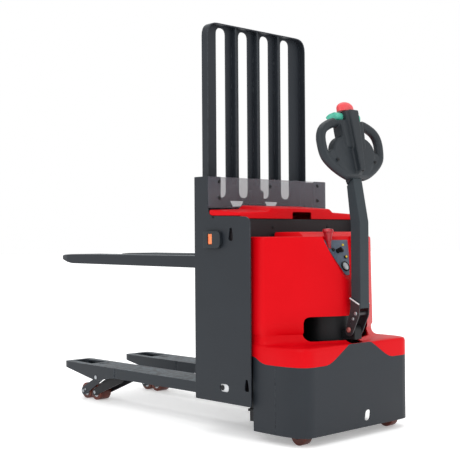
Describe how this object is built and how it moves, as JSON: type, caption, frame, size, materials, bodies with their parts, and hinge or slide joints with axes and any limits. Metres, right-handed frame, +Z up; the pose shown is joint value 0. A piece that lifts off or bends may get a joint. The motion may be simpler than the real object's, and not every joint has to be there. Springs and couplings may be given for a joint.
{
  "type": "walkie stacker",
  "caption": "Walk-behind electric pallet stacker with initial-lift support legs, raised forks with a load backrest, a battery hood, a steered drive unit under a moulded cover and a tiller.",
  "frame": {"origin": "middle of the footprint, on the floor", "axes": "+X from the forks towards the driver, +Y towards the truck's right, +Z up"},
  "size_m": [1.902, 0.8048, 1.81],
  "materials": {
    "dark_paint": "dark grey powder coat, semi-matt",
    "deck_paint": "blue-grey powder coat, semi-matt",
    "black_steel": "black coat, semi-matt",
    "steel": "machined",
    "red_cover": "moulded, satin",
    "dark_plastic": "moulded, fine grain",
    "console_plastic": "moulded, satin",
    "teal_plastic": "moulded, satin",
    "soft_red": "moulded, satin",
    "pale_plastic": "moulded, satin",
    "smoked_screen": "smoked, polished",
    "amber_lens": "moulded, glossy",
    "urethane": "cast, satin",
    "tread": "cast rubber, matt"
  },
  "bodies": {
    "chassis": {"chassis_frame": "black_steel", "rear_skirt": "dark_paint", "drive_cover": "red_cover", "console_panel": "console_plastic", "battery_gauge": "console_plastic", "pump_unit": "black_steel", "initial_cylinder": "black_steel"},
    "lift_frame": {"side_panel_left": "dark_paint", "side_panel_right": "dark_paint", "side_lamp_left": "dark_plastic", "side_lamp_right": "dark_plastic", "lamp_lens_left": "amber_lens", "lamp_lens_right": "amber_lens", "leg_left": "deck_paint", "leg_right": "deck_paint", "lift_beam": "dark_paint", "mast": "black_steel", "battery_box": "dark_paint", "battery_pack": "black_steel", "guard_screen": "smoked_screen", "mast_cylinder": "black_steel", "anchor_chain": "steel", "initial_ram": "steel"},
    "hood": {"hood": "red_cover"},
    "carriage": {"backrest": "dark_paint", "fork_left": "dark_paint", "fork_right": "dark_paint", "carriage_chain": "steel"},
    "ram": {"lift_ram": "steel"},
    "pulley": {"chain_pulley": "steel"},
    "steer_unit": {"drive_unit": "black_steel", "tiller_base": "black_steel"},
    "drive_wheel": {"drive_wheel": "tread"},
    "tiller": {"tiller_arm": "dark_plastic", "tiller_bracket": "black_steel", "tiller_head": "dark_plastic"},
    "throttle": {"throttle": "teal_plastic"},
    "belly_button": {"belly_button": "soft_red"},
    "lift_button": {"lift_button": "pale_plastic"},
    "lower_button": {"lower_button": "dark_plastic"},
    "spring_barrel": {"gas_spring_barrel": "black_steel"},
    "spring_rod": {"gas_spring_rod": "steel"},
    "stop_button": {"stop_button": "red_cover"},
    "ignition_key": {"ignition_key": "black_steel"},
    "front_arm_left": {"front_roller_arm_left": "deck_paint"},
    "rear_arm_left": {"rear_roller_arm_left": "black_steel"},
    "front_roller_left": {"front_roller_left": "urethane"},
    "rear_roller_left": {"rear_roller_left": "urethane"},
    "push_rod_left": {"push_rod_left": "steel"},
    "caster_fork_left": {"caster_fork_left": "black_steel"},
    "caster_wheel_left": {"caster_wheel_left": "urethane"},
    "carriage_roller_left": {"carriage_roller_left": "steel"},
    "front_arm_right": {"front_roller_arm_right": "deck_paint"},
    "rear_arm_right": {"rear_roller_arm_right": "black_steel"},
    "front_roller_right": {"front_roller_right": "urethane"},
    "rear_roller_right": {"rear_roller_right": "urethane"},
    "push_rod_right": {"push_rod_right": "steel"},
    "caster_fork_right": {"caster_fork_right": "black_steel"},
    "caster_wheel_right": {"caster_wheel_right": "urethane"},
    "carriage_roller_right": {"carriage_roller_right": "steel"}
  },
  "joints": [
    {"name": "initial_lift", "type": "slide", "parent": "chassis", "child": "lift_frame", "axis": [0, 0, 1], "range_m": [-0.1, 0]},
    {"name": "fork_lift", "type": "slide", "parent": "lift_frame", "child": "carriage", "axis": [0, 0, 1], "range_m": [-0.49, 0.06]},
    {"name": "ram_lift", "type": "slide", "parent": "lift_frame", "child": "ram", "axis": [0, 0, 1], "range_m": [-0.2451, 0.0301]},
    {"name": "pulley_spin", "type": "hinge", "parent": "ram", "child": "pulley", "pos_m": [0.3575, 0, 0.935], "axis": [0, 1, 0], "continuous": true},
    {"name": "hood_hinge", "type": "hinge", "parent": "lift_frame", "child": "hood", "pos_m": [0.406, 0, 0.991], "axis": [0, -1, 0], "range_deg": [0, 75]},
    {"name": "front_arm_left", "type": "hinge", "parent": "lift_frame", "child": "front_arm_left", "pos_m": [-0.585, -0.202, 0.128], "axis": [0, 1, 0], "range_deg": [0, 33.4]},
    {"name": "rear_arm_left", "type": "hinge", "parent": "lift_frame", "child": "rear_arm_left", "pos_m": [-0.434, -0.202, 0.14], "axis": [0, 1, 0], "range_deg": [0, 24.4]},
    {"name": "push_rod_left", "type": "slide", "parent": "lift_frame", "child": "push_rod_left", "axis": [1, 0, 0], "range_m": [0, 0.0245]},
    {"name": "front_roller_left", "type": "hinge", "parent": "front_arm_left", "child": "front_roller_left", "pos_m": [-0.741, -0.202, 0.041], "axis": [0, 1, 0], "continuous": true},
    {"name": "rear_roller_left", "type": "hinge", "parent": "rear_arm_left", "child": "rear_roller_left", "pos_m": [-0.655, -0.202, 0.041], "axis": [0, 1, 0], "continuous": true},
    {"name": "carriage_roller_left", "type": "hinge", "parent": "carriage", "child": "carriage_roller_left", "pos_m": [0.3575, -0.164, 0.88], "axis": [0, 1, 0], "continuous": true},
    {"name": "caster_swivel_left", "type": "hinge", "parent": "chassis", "child": "caster_fork_left", "pos_m": [0.826, -0.285, 0.1], "axis": [0, 0, 1], "continuous": true},
    {"name": "caster_wheel_left", "type": "hinge", "parent": "caster_fork_left", "child": "caster_wheel_left", "pos_m": [0.848, -0.285, 0.04], "axis": [0, 1, 0], "continuous": true},
    {"name": "front_arm_right", "type": "hinge", "parent": "lift_frame", "child": "front_arm_right", "pos_m": [-0.585, 0.202, 0.128], "axis": [0, 1, 0], "range_deg": [0, 33.4]},
    {"name": "rear_arm_right", "type": "hinge", "parent": "lift_frame", "child": "rear_arm_right", "pos_m": [-0.434, 0.202, 0.14], "axis": [0, 1, 0], "range_deg": [0, 24.4]},
    {"name": "push_rod_right", "type": "slide", "parent": "lift_frame", "child": "push_rod_right", "axis": [1, 0, 0], "range_m": [0, 0.0245]},
    {"name": "front_roller_right", "type": "hinge", "parent": "front_arm_right", "child": "front_roller_right", "pos_m": [-0.741, 0.202, 0.041], "axis": [0, 1, 0], "continuous": true},
    {"name": "rear_roller_right", "type": "hinge", "parent": "rear_arm_right", "child": "rear_roller_right", "pos_m": [-0.655, 0.202, 0.041], "axis": [0, 1, 0], "continuous": true},
    {"name": "carriage_roller_right", "type": "hinge", "parent": "carriage", "child": "carriage_roller_right", "pos_m": [0.3575, 0.164, 0.88], "axis": [0, 1, 0], "continuous": true},
    {"name": "caster_swivel_right", "type": "hinge", "parent": "chassis", "child": "caster_fork_right", "pos_m": [0.826, 0.285, 0.1], "axis": [0, 0, 1], "continuous": true},
    {"name": "caster_wheel_right", "type": "hinge", "parent": "caster_fork_right", "child": "caster_wheel_right", "pos_m": [0.848, 0.285, 0.04], "axis": [0, 1, 0], "continuous": true},
    {"name": "steering", "type": "hinge", "parent": "chassis", "child": "steer_unit", "pos_m": [0.736, 0, 0.4], "axis": [0, 0, 1], "range_deg": [-37, 37]},
    {"name": "drive_wheel_spin", "type": "hinge", "parent": "steer_unit", "child": "drive_wheel", "pos_m": [0.736, 0, 0.115], "axis": [0, 1, 0], "continuous": true},
    {"name": "tiller_tilt", "type": "hinge", "parent": "steer_unit", "child": "tiller", "pos_m": [0.893, 0, 0.453], "axis": [0, 1, 0], "range_deg": [0, 75]},
    {"name": "gas_spring_swing", "type": "hinge", "parent": "steer_unit", "child": "spring_barrel", "pos_m": [0.871, 0.043, 0.422], "axis": [0, 1, 0], "range_deg": [0, 54.9]},
    {"name": "gas_spring_stroke", "type": "slide", "parent": "spring_barrel", "child": "spring_rod", "axis": [0.3894, 0, 0.9211], "range_m": [-0.0125, 0.001]},
    {"name": "throttle", "type": "hinge", "parent": "tiller", "child": "throttle", "pos_m": [0.85684, 0, 1.35745], "axis": [0, 1, 0], "range_deg": [-12, 12], "stiffness_Nm_per_rad": 1.5},
    {"name": "belly_button", "type": "slide", "parent": "tiller", "child": "belly_button", "axis": [0.1874, 0, -0.9823], "range_m": [0, 0.002], "stiffness_N_per_m": 1200},
    {"name": "lift_button", "type": "slide", "parent": "tiller", "child": "lift_button", "axis": [0.9823, 0, 0.1874], "range_m": [0, 0.003], "stiffness_N_per_m": 400},
    {"name": "lower_button", "type": "slide", "parent": "tiller", "child": "lower_button", "axis": [0.9823, 0, 0.1874], "range_m": [0, 0.003], "stiffness_N_per_m": 400},
    {"name": "stop_button", "type": "slide", "parent": "chassis", "child": "stop_button", "axis": [0, 0, 1], "range_m": [0, 0.03]},
    {"name": "ignition_key", "type": "hinge", "parent": "chassis", "child": "ignition_key", "pos_m": [0.81116, -0.014, 0.78224], "axis": [0.9115, 0, 0.4113], "range_deg": [0, 60]}
  ],
  "couplings": [
    {"joint": "ram_lift", "follows": "fork_lift", "ratio": 0.5},
    {"joint": "pulley_spin", "follows": "fork_lift", "rad_per_m": 17.5},
    {"joint": "front_arm_left", "follows": "initial_lift", "rad_per_m": -5.816},
    {"joint": "rear_arm_left", "follows": "initial_lift", "rad_per_m": -4.253},
    {"joint": "push_rod_left", "follows": "initial_lift", "ratio": -0.24},
    {"joint": "front_arm_right", "follows": "initial_lift", "rad_per_m": -5.816},
    {"joint": "rear_arm_right", "follows": "initial_lift", "rad_per_m": -4.253},
    {"joint": "push_rod_right", "follows": "initial_lift", "ratio": -0.24},
    {"joint": "gas_spring_swing", "follows": "tiller_tilt", "ratio": 0.731},
    {"joint": "gas_spring_stroke", "follows": "tiller_tilt", "m_per_rad": -0.00926}
  ]
}
